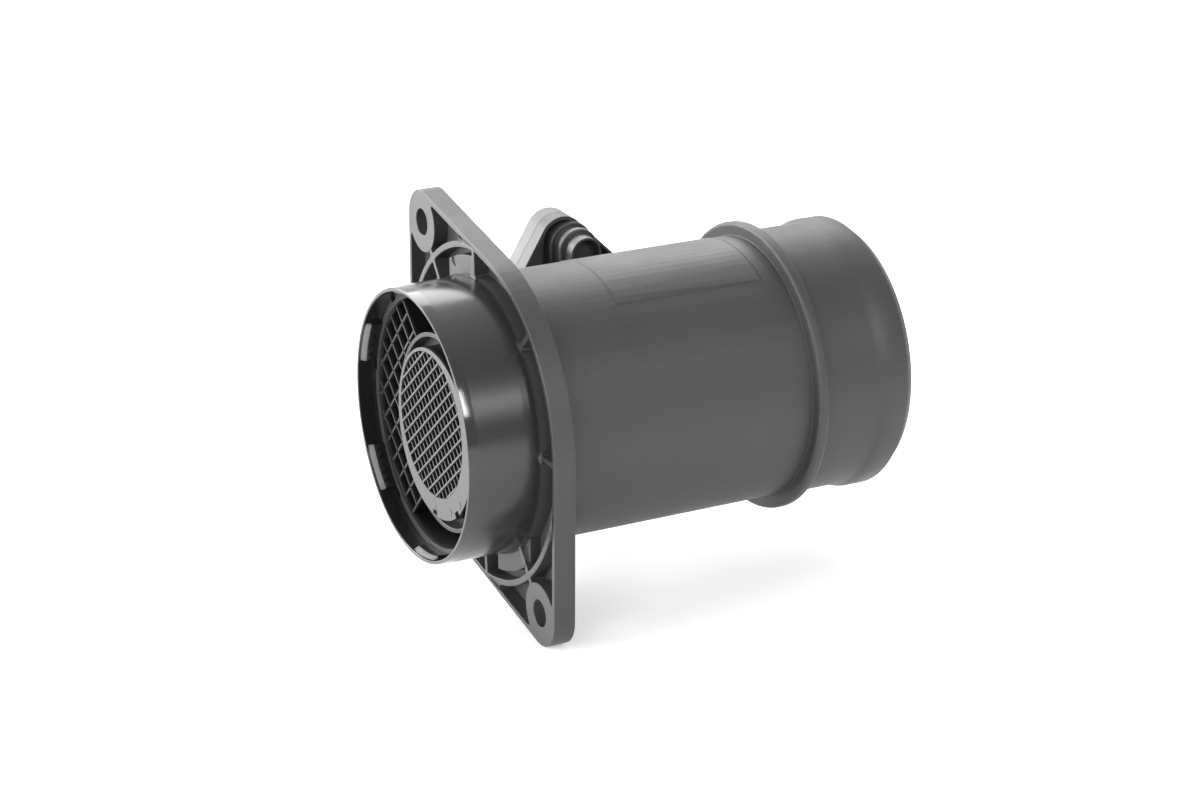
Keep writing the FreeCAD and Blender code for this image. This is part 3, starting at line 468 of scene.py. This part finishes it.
def body_plastic(plastic):
    """The duct's plastic: grained on the tube, polished on the spigot with painted shade inside the mouth,
    rougher on the lugs' ramps with a painted highlight.
    """
    finish = Finish("body_plastic")
    axes = finish.axes()
    along = axes["X"]
    out = finish.radius(axes)
    grained = finish.fade(along, GRAIN_X)
    outside = finish.fade(out, OUTSIDE_R)
    ramp = finish.fade(out, RAMP_R, (1.0, 0.0))
    for edge, slope in zip(RAMP_X, (1, -1)):
        ramp = finish.calculated("MULTIPLY", ramp, finish.fade(along, (edge, edge + slope * RAMP_END)))
    grain = finish.grain(plastic)
    clouds = finish.clouds(BODY_CLOUDS)

    tube_tone = finish.flow_tone(plastic.body_colour, grain, clouds)
    # Painted shade: darker inside the mouth's radius than on the polished outside
    wall_tone_with_mouth_shade = finish.tinted(outside, plastic.body_colour, plastic.mouth_shade_share, plastic.polished_share)
    # Painted highlight: the lugs' ramps take a paler colour than the wall
    spigot_tone = finish.mixed(ramp, wall_tone_with_mouth_shade, share_of(plastic.body_colour, plastic.ramp_highlight_share), "RGBA")
    tone = finish.mixed(grained, spigot_tone, tube_tone, "RGBA")

    sheen = plastic.smooth_roughness
    scuffs = finish.calculated("MULTIPLY", ramp, plastic.roughness - sheen)
    gloss = finish.calculated("MULTIPLY", finish.fade(along, LEAD_IN_X, (sheen / 2, 0.0)), outside)
    smooth = finish.calculated("ADD", finish.around(clouds, sheen, less=0.04, more=0.06), scuffs)
    smooth = finish.calculated("SUBTRACT", smooth, gloss)
    rough = finish.around(clouds, plastic.roughness, less=0.05, more=0.07)
    roughness = finish.mixed(grained, smooth, rough)
    strength = finish.spread(grained, (0.12, 1.0))
    return finish.coat(tone, roughness, grain, plastic.grain_depth, strength)


def bare_metal(name, colour, roughness):
    """Metal with faint drawn lines and a slight change of tone."""
    finish = Finish(name)
    stretch = finish.add("ShaderNodeMapping", {"Vector": finish.place, "Scale": LINE_STRETCH})
    drawn = finish.noise(DRAWN_LINES, place=stretch.outputs["Vector"])
    finish.fill(finish.shader, {"Metallic": 1.0})
    tone = finish.tinted(drawn, colour, dark=0.88, light=1.08)
    roughness = finish.around(drawn, roughness, less=0.07, more=0.1)
    return finish.coat(tone, roughness, drawn, depth=0.01 * MM)


def glazed(name, colour, roughness):
    """Ceramic, epoxy, silicon or a chip's black case: smooth, with a fine speckle."""
    finish = Finish(name)
    dots = finish.noise(SPECKLE, detail=4.0)
    tone = finish.tinted(dots, colour, dark=0.8, light=1.2)
    roughness = finish.around(dots, roughness, less=0.05, more=0.08, over=(0.0, 1.0))
    return finish.coat(tone, roughness, dots, depth=0.008 * MM)


def solder_mask():
    """Green solder mask with buried copper runs that show as a lighter pattern."""
    finish = Finish("solder_mask")
    inputs = {"Vector": finish.place, "Scale": BOARD_CELLS}
    cells = finish.add("ShaderNodeTexVoronoi", inputs, distance="CHEBYCHEV", feature="F1")
    runs = finish.spread(cells.outputs["Distance"], to=(0.0, 1.0), over=(0.36, 0.4))
    tone = finish.tinted(runs, BOARD_GREEN, dark=0.75, light=1.5)
    roughness = finish.spread(runs, (0.3, 0.42))
    return finish.coat(tone, roughness, runs, depth=0.02 * MM)


def seal_rubber():
    """Black rubber with a faint bloom."""
    finish = Finish("seal_rubber")
    bloom = finish.noise(RUBBER_BLOOM, detail=3.0)
    tone = finish.tinted(bloom, SEAL_BLACK, dark=0.8, light=1.5)
    roughness = finish.spread(bloom, (0.62, 0.8))
    return finish.coat(tone, roughness, bloom, depth=0.02 * MM)


def floor_paper(stage):
    """Pale paper that glows a little, as on a lit table."""
    finish = Finish("floor_paper")
    tone = finish.tinted(finish.noise(PAPER_TOOTH), stage.floor_colour, dark=0.995, light=1.005)
    finish.fill(finish.shader, {
        "Base Color": tone, "Roughness": 0.6, "Specular IOR Level": 0.2,
        "Emission Color": WHITE, "Emission Strength": stage.floor_glow,
    })
    return finish.material


# Shapes


def merged_copy(node):
    """A bmesh of a node's triangles, joined at their corners."""
    shape = bmesh.new()
    shape.from_mesh(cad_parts[node].data)
    bmesh.ops.remove_doubles(shape, verts=shape.verts, dist=CAD_WELD * MM)
    return shape


def closed_up(shape):
    """The shape with meeting corners joined and its faces turned outwards."""
    bmesh.ops.remove_doubles(shape, verts=shape.verts, dist=NEW_WELD * MM)
    bmesh.ops.dissolve_degenerate(shape, edges=shape.edges, dist=NEW_WELD * MM)
    bmesh.ops.recalc_face_normals(shape, faces=shape.faces)
    return shape


def stations(cuts=(), width=0.0, radius=1.0):
    """Steps around a ring with a flag inside the cuts, doubled where a cut starts and ends."""
    half = math.degrees(width / radius / 2)
    turns = []
    for centre in cuts:
        start, end = centre - half, centre + half
        turns += [(start, 0, False), (start, 1, True), (end, 0, True), (end, 1, False)]
    for i in range(ROUND_STEPS):
        turn = i * 360 / ROUND_STEPS
        if all(abs(turn - centre) > half + CUT_CLEARANCE for centre in cuts):
            turns.append((turn, 0, False))
    return [(math.radians(turn), cut) for turn, order, cut in sorted(turns)]


def add_ring(shape, turns, profile):
    """Adds a ring whose closed profile gives (x, radius, centre y, centre z) for a plain and a cut step."""
    loops = []
    for turn, cut in turns:
        loop = []
        for x, radius, y, z in profile(cut):
            place = Vector((x, y + radius * math.cos(turn), z + radius * math.sin(turn)))
            loop.append(shape.verts.new(place * MM))
        loops.append(loop)
    for first, second in zip(loops, loops[1:] + loops[:1]):
        for i in range(len(first)):
            j = (i + 1) % len(first)
            shape.faces.new((first[i], first[j], second[j], second[i]))


def add_band(shape, xs, radii):
    """Adds a plain ring about the measuring tube's centre, square in section."""
    corners = ((xs[0], radii[0]), (xs[0], radii[1]), (xs[1], radii[1]), (xs[1], radii[0]))
    add_ring(shape, stations(), lambda cut: [(x, radius, *CORE_CENTRE) for x, radius in corners])


def carrier_profile(cut):
    """Section of the carrier ring, stepped at its front edge where a key sits."""
    inner, outer = CARRIER_R
    front = outer - KEY_DEPTH if cut else outer
    step_x = CARRIER_X[0] + KEY_DEPTH
    nose = ((CARRIER_X[0], inner), (CARRIER_X[0], front), (step_x, front), (step_x, outer))
    return [(x, radius, *AXIS) for x, radius in (*nose, (CARRIER_X[1], outer), (CARRIER_X[1], inner))]


def plate_profile(cut):
    """Section of the fine mesh's plate, from its rim or a notch in it to the window."""
    front = MESH_R - NOTCH_DEPTH if cut else MESH_R
    step_x = MESH_X[0] + NOTCH_DEPTH
    corners = ((MESH_X[0], front), (step_x, front), (step_x, MESH_R), (MESH_X[1], MESH_R))
    rim = [(x, radius, *CORE_CENTRE) for x, radius in corners]
    return [*rim, *[(x, WINDOW_R, *(CORE_CENTRE + WINDOW_SHIFT)) for x in reversed(MESH_X)]]


def across(angle):
    """Unit vectors along and square to a rib, in the plane of the grid."""
    turn = math.radians(angle)
    return Vector((math.cos(turn), math.sin(turn))), Vector((-math.sin(turn), math.cos(turn)))


def chord(along, start, centre, radius):
    """The span of a line that lies in a circle, or None."""
    away = start - centre
    middle = -away.dot(along)
    rest = radius ** 2 - (away + middle * along).length_squared
    return (middle - math.sqrt(rest), middle + math.sqrt(rest)) if rest > 0 else None


def add_wall(shape, start, along, span, xs, width):
    """Adds one straight wall of a lattice."""
    centre = start + along * (span[0] + span[1]) / 2
    size = Matrix.Diagonal(((xs[1] - xs[0]) * MM, (span[1] - span[0]) * MM, width * MM, 1))
    place = Matrix.Translation(Vector(((xs[0] + xs[1]) / 2, *centre)) * MM)
    turn = Matrix.Rotation(math.atan2(along.y, along.x), 4, "X")
    bmesh.ops.create_cube(shape, size=1.0, matrix=place @ turn @ size)


def add_ribs(shape, angle, first, pitch, count, end):
    """Adds parallel ribs between the core and the carrier, from the end rib of the other family on."""
    along, over = across(angle)
    for i in range(count):
        start = CORE_CENTRE + over * (first + i * pitch)
        outer = chord(along, start, AXIS, CARRIER_R[0] + RIB_SEAT)
        if outer:
            inner = chord(along, start, CORE_CENTRE, CORE_R)
            span = (max(inner[1] if inner else outer[0], end), outer[1])
            add_wall(shape, start, along, span, GRID_X, GRID_RIB)


def add_bars(shape, angle, first, pitch, xs):
    """Adds parallel bars across the fine mesh's window."""
    along, over = across(angle)
    for i in range(int(2 * WINDOW_R / pitch) + 1):
        start = CORE_CENTRE + over * (first + i * pitch)
        span = chord(along, start, CORE_CENTRE + WINDOW_SHIFT, WINDOW_R)
        if span:
            add_wall(shape, start, along, span, xs, BAR_WIDTH)


def add_mark(shape, angle):
    """Adds a round moulding mark that stands a little proud of the fine mesh's plate."""
    place = Matrix.Translation(Vector((MESH_X[0], *(CORE_CENTRE + MARK_RING_R * across(angle)[0]))) * MM)
    bmesh.ops.create_cone(
        shape, cap_ends=True, segments=MARK_STEPS, radius1=MARK_R * MM, radius2=MARK_R * MM,
        depth=2 * MARK_STAND * MM, matrix=place @ Matrix.Rotation(math.pi / 2, 4, "Y")
    )


def coarse_grid():
    """Carrier ring and the two families of ribs that cross between it and the core."""
    shape = bmesh.new()
    add_ring(shape, stations(KEY_ANGLES, KEY_WIDTH, CARRIER_R[1]), carrier_profile)
    add_ribs(shape, RISING_ANGLE, RISING_TOP, -RISING_PITCH, RISING_COUNT, FALLING_LOW)
    add_ribs(shape, FALLING_ANGLE, FALLING_LOW, FALLING_PITCH, FALLING_COUNT, -RISING_TOP)
    return closed_up(shape)


def mesh_disc():
    """Plate with its notches, skirt, seat ring, window lattice and two moulding marks."""
    shape = bmesh.new()
    add_ring(shape, stations(NOTCH_ANGLES, NOTCH_WIDTH, MESH_R), plate_profile)
    add_band(shape, SKIRT_X, SKIRT_R)
    add_band(shape, SEAT_X, SEAT_R)
    add_bars(shape, BAR_ANGLE, BAR_START, BAR_PITCH, MESH_X)
    add_bars(shape, SLAT_ANGLE, SLAT_START, SLAT_PITCH, (MESH_X[0] + SLAT_SET_BACK, MESH_X[1]))
    for angle in MARK_ANGLES:
        add_mark(shape, angle)
    return closed_up(shape)


def retaining_ring():
    """Ring that holds the fine mesh's seat in the measuring tube."""
    shape = bmesh.new()
    add_band(shape, RETAINER_X, RETAINER_R)
    return closed_up(shape)


def core_tube():
    """The measuring tube with its mouth where the photograph has it, leaning back to the CAD tube's place."""
    shape = merged_copy("measuring_tube")
    shift = CORE_CENTRE - Vector((0, CAD_CORE_Z))
    for x in (CORE_STRAIGHT_X, CORE_MEETS_X):
        bmesh.ops.bisect_plane(
            shape, geom=[*shape.verts, *shape.edges, *shape.faces], dist=CUT_WELD * MM,
            plane_co=(x * MM, 0, 0), plane_no=(1, 0, 0)
        )
    for corner in shape.verts:
        if corner.co.x < (CORE_STRAIGHT_X + CUT_REACH) * MM:
            in_mouth = corner.co.x < (CAD_CORE_X + CAD_CORE_EDGE) * MM
            forward = CORE_FRONT_X - CAD_CORE_X if in_mouth else 0.0
            corner.co += Vector((forward, *shift)) * MM
    return shape


# Pieces


def dress(piece, material):
    """Gives a piece its one material."""
    piece.data.materials.clear()
    piece.data.materials.append(material)


def finish_node(node, material):
    """Gives a CAD node that keeps its own mesh a finished material."""
    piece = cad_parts[node]
    if not piece.material_slots:
        piece.data.materials.append(material)
    for slot in piece.material_slots:
        slot.material = material


def new_piece(shape, name, material, replaced):
    """Makes a piece of a bmesh, on the part's one body, in the place of the replaced nodes."""
    mesh = bpy.data.meshes.new(name)
    shape.to_mesh(mesh)
    shape.free()
    piece = bpy.data.objects.new(name, mesh)
    bpy.context.scene.collection.objects.link(piece)
    dress(piece, material)
    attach(piece, "root")
    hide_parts(*replaced)
    return piece


def smoothed(piece, edges):
    """Smooth shading that keeps the creases."""
    for face in piece.data.polygons:
        face.use_smooth = True
    piece.data.set_sharp_from_angle(angle=edges.crease_angle)
    return piece


def soften(piece, width, edges):
    """Rounds the sharp edges of a piece and evens its shading."""
    bevel = piece.modifiers.new("rounded edges", "BEVEL")
    bevel.width = width
    bevel.segments = BEVEL_SEGMENTS
    bevel.limit_method = "ANGLE"
    bevel.angle_limit = edges.round_angle
    bevel.use_clamp_overlap = False
    weighted = piece.modifiers.new("even shading", "WEIGHTED_NORMAL")
    weighted.mode = "FACE_AREA_WITH_ANGLE"
    weighted.keep_sharp = True


def rounded_node(node, name, material, width, edges):
    """A copy of a CAD node with rounded edges, in its place."""
    piece = new_piece(merged_copy(node), name, material, (node,))
    soften(smoothed(piece, edges), width, edges)


# Operators


class AIRSENSOR_OT_body(bpy.types.Operator):
    """Dress the duct and its flange with rounded edges and grained plastic"""
    bl_idname = "airsensor.body"
    bl_label = "Duct and Flange"

    def execute(self, context):
        plastic = context.scene.sensor_plastic
        edges = context.scene.sensor_edges
        grained = body_plastic(plastic)
        rounded_node("housing_body", "duct_and_flange", grained, edges.body_round, edges)
        return {"FINISHED"}


class AIRSENSOR_OT_mouth(bpy.types.Operator):
    """Make the measuring tube, the coarse grid, the fine mesh and its ring in the mouth"""
    bl_idname = "airsensor.mouth"
    bl_label = "Grids and Core"

    def execute(self, context):
        plastic = context.scene.sensor_plastic
        edges = context.scene.sensor_edges
        black = moulded_plastic(
            "black_plastic", plastic.black_colour, plastic, roughness=0.42, grain_share=0.3
        )
        ribbed = lattice_plastic("grid_plastic", plastic.grid_colour, plastic, GRID_X[0], GRID_SHADE_DEPTH)
        light = lattice_plastic("mesh_plastic", plastic.mesh_colour, plastic, MESH_X[0], MESH_SHADE_DEPTH)
        tube = new_piece(core_tube(), "core_tube", black, ("measuring_tube",))
        grid = new_piece(coarse_grid(), "coarse_grid", ribbed, ("flow_grid",))
        disc = new_piece(mesh_disc(), "mesh_disc", light, ("fine_mesh",))
        ring = new_piece(retaining_ring(), "retaining_ring", black, ("mesh_retaining_ring",))
        for piece in (tube, grid, disc, ring):
            smoothed(piece, edges)
        soften(tube, edges.fine_round * 2, edges)
        return {"FINISHED"}


class AIRSENSOR_OT_module(bpy.types.Operator):
    """Dress the electronics module with its lid, socket, seals and screws"""
    bl_idname = "airsensor.module"
    bl_label = "Electronics Module"

    def execute(self, context):
        plastic = context.scene.sensor_plastic
        edges = context.scene.sensor_edges
        case = moulded_plastic(
            "module_plastic", plastic.module_colour, plastic, roughness=0.48, grain_share=0.7
        )
        # The lid's paler colour is painted light on the same plastic as the tray
        lid = moulded_plastic(
            "lid_plastic", plastic.lid_lit_colour, plastic, roughness=0.48, grain_share=0.7
        )
        socket = moulded_plastic(
            "socket_plastic", plastic.socket_colour, plastic, roughness=0.42, grain_share=0.3
        )
        rounded_node("electronics_housing", "module_tray", case, edges.fine_round, edges)
        rounded_node("electronics_cover", "module_lid", lid, edges.fine_round, edges)
        rounded_node("connector_socket", "oval_socket", socket, edges.fine_round * 2, edges)
        tin = bare_metal("tinned_brass", TIN, roughness=0.3)
        for node in ("terminal_pins", "connector_leads", "temperature_leads"):
            finish_node(node, tin)
        finish_node("module_screws", bare_metal("zinc_steel", ZINC, roughness=0.34))
        rubber = seal_rubber()
        for node in ("cover_seal", "module_seal"):
            finish_node(node, rubber)
        return {"FINISHED"}


class AIRSENSOR_OT_inside(bpy.types.Operator):
    """Finish the sensor arm, its film chip and the electronics"""
    bl_idname = "airsensor.inside"
    bl_label = "Arm and Electronics"

    def execute(self, context):
        plastic = context.scene.sensor_plastic
        arm = moulded_plastic(
            "arm_plastic", plastic.black_colour, plastic, roughness=0.4, grain_share=0.3
        )
        for node in ("sensor_arm", "arm_cover"):
            finish_node(node, arm)
        finish_node("chip_carrier", bare_metal("carrier_steel", STEEL, roughness=0.3))
        finish_node("hot_film_chip", glazed("film_silicon", SILICON, roughness=0.16))
        finish_node("air_temperature_bead", glazed("bead_epoxy", EPOXY, roughness=0.22))
        finish_node("heat_plate", bare_metal("plate_aluminium", ALUMINIUM, roughness=0.36))
        finish_node("circuit_board", solder_mask())
        case = glazed("moulding_compound", CASE_BLACK, roughness=0.45)
        for node in ("control_chip", "board_resistors"):
            finish_node(node, case)
        finish_node("board_capacitors", glazed("capacitor_ceramic", CERAMIC, roughness=0.35))
        return {"FINISHED"}


class AIRSENSOR_OT_stage(bpy.types.Operator):
    """Set up the pale floor, the soft lights and the camera"""
    bl_idname = "airsensor.stage"
    bl_label = "Studio"

    def execute(self, context):
        stage = context.scene.sensor_stage
        make_floor(stage)
        for name, place, target, size, power in LIGHTS:
            area_light(name, place, target, size, getattr(stage, power))
        context.scene.world = white_room(stage)
        context.scene.view_settings.view_transform = "Standard"
        make_camera(stage)
        return {"FINISHED"}


# Stage


def make_floor(stage):
    """A wide sheet just under the sensor."""
    shape = bmesh.new()
    bmesh.ops.create_grid(shape, x_segments=1, y_segments=1, size=FLOOR_HALF)
    bmesh.ops.translate(shape, verts=shape.verts, vec=(MIDDLE[0], MIDDLE[1], CAD_BOX[0].z - FLOOR_GAP))
    mesh = bpy.data.meshes.new("studio_floor")
    shape.to_mesh(mesh)
    shape.free()
    floor = bpy.data.objects.new("studio_floor", mesh)
    bpy.context.scene.collection.objects.link(floor)
    dress(floor, floor_paper(stage))


def area_light(name, place, target, size, power):
    """A rectangular light that faces its target."""
    lamp = bpy.data.lights.new(name, "AREA")
    lamp.shape = "RECTANGLE"
    lamp.size, lamp.size_y = size
    lamp.energy = power
    lit = bpy.data.objects.new(name, lamp)
    lit.location = place
    lit.rotation_euler = (Vector(target) - Vector(place)).to_track_quat("-Z", "Y").to_euler()
    bpy.context.scene.collection.objects.link(lit)


def white_room(stage):
    """White surroundings, bright behind the sensor and dim on the camera's side."""
    world = bpy.data.worlds.new("white room")
    world.use_nodes = True
    tree = NodeTree(world.node_tree)
    way = tree.add("ShaderNodeTexCoord").outputs["Generated"]
    back = tree.add("ShaderNodeSeparateXYZ", {"Vector": way}).outputs["Y"]
    strength = tree.spread(back, (stage.front_brightness, stage.back_brightness), ROOM_FADE)
    seen = tree.add("ShaderNodeLightPath").outputs["Is Camera Ray"]
    tree.fill(tree.nodes["Background"], {"Color": WHITE, "Strength": tree.mixed(seen, strength, 1.0)})
    return world


def make_camera(stage):
    """The camera at the photograph's viewing angle."""
    lens = bpy.data.cameras.new("photo camera")
    lens.sensor_width = SENSOR_WIDTH
    lens.lens = stage.lens
    lens.clip_start = 0.01
    camera = bpy.data.objects.new("photo camera", lens)
    camera.location = stage.camera_place
    camera.rotation_euler = (math.pi / 2 - stage.camera_tilt, 0, stage.camera_heading)
    bpy.context.scene.collection.objects.link(camera)
    bpy.context.scene.camera = camera


# Panel


class AIRSENSOR_PT_panel(bpy.types.Panel):
    """Steps and settings of the mass airflow sensor"""
    bl_idname = "AIRSENSOR_PT_panel"
    bl_label = "Mass Airflow Sensor"
    bl_space_type = "VIEW_3D"
    bl_region_type = "UI"
    bl_category = "Airflow Sensor"

    def draw(self, context):
        layout = self.layout
        for operator in STEPS:
            layout.operator(operator.bl_idname)
        for group in (context.scene.sensor_plastic, context.scene.sensor_edges, context.scene.sensor_stage):
            box = layout.box()
            for name in group.bl_rna.properties.keys():
                if name not in ("rna_type", "name"):
                    box.prop(group, name)


STEPS = (AIRSENSOR_OT_body, AIRSENSOR_OT_mouth, AIRSENSOR_OT_module, AIRSENSOR_OT_inside, AIRSENSOR_OT_stage)
GROUPS = (PlasticSettings, EdgeSettings, StageSettings)


def register():
    for kind in (*GROUPS, *STEPS, AIRSENSOR_PT_panel):
        bpy.utils.register_class(kind)
    bpy.types.Scene.sensor_plastic = bpy.props.PointerProperty(type=PlasticSettings)
    bpy.types.Scene.sensor_edges = bpy.props.PointerProperty(type=EdgeSettings)
    bpy.types.Scene.sensor_stage = bpy.props.PointerProperty(type=StageSettings)


def unregister():
    del bpy.types.Scene.sensor_stage
    del bpy.types.Scene.sensor_edges
    del bpy.types.Scene.sensor_plastic
    for kind in (AIRSENSOR_PT_panel, *reversed(STEPS), *reversed(GROUPS)):
        bpy.utils.unregister_class(kind)


def main():
    register()
    bpy.ops.airsensor.body()
    bpy.ops.airsensor.mouth()
    bpy.ops.airsensor.module()
    bpy.ops.airsensor.inside()
    bpy.ops.airsensor.stage()


if __name__ == "__main__":
    main()
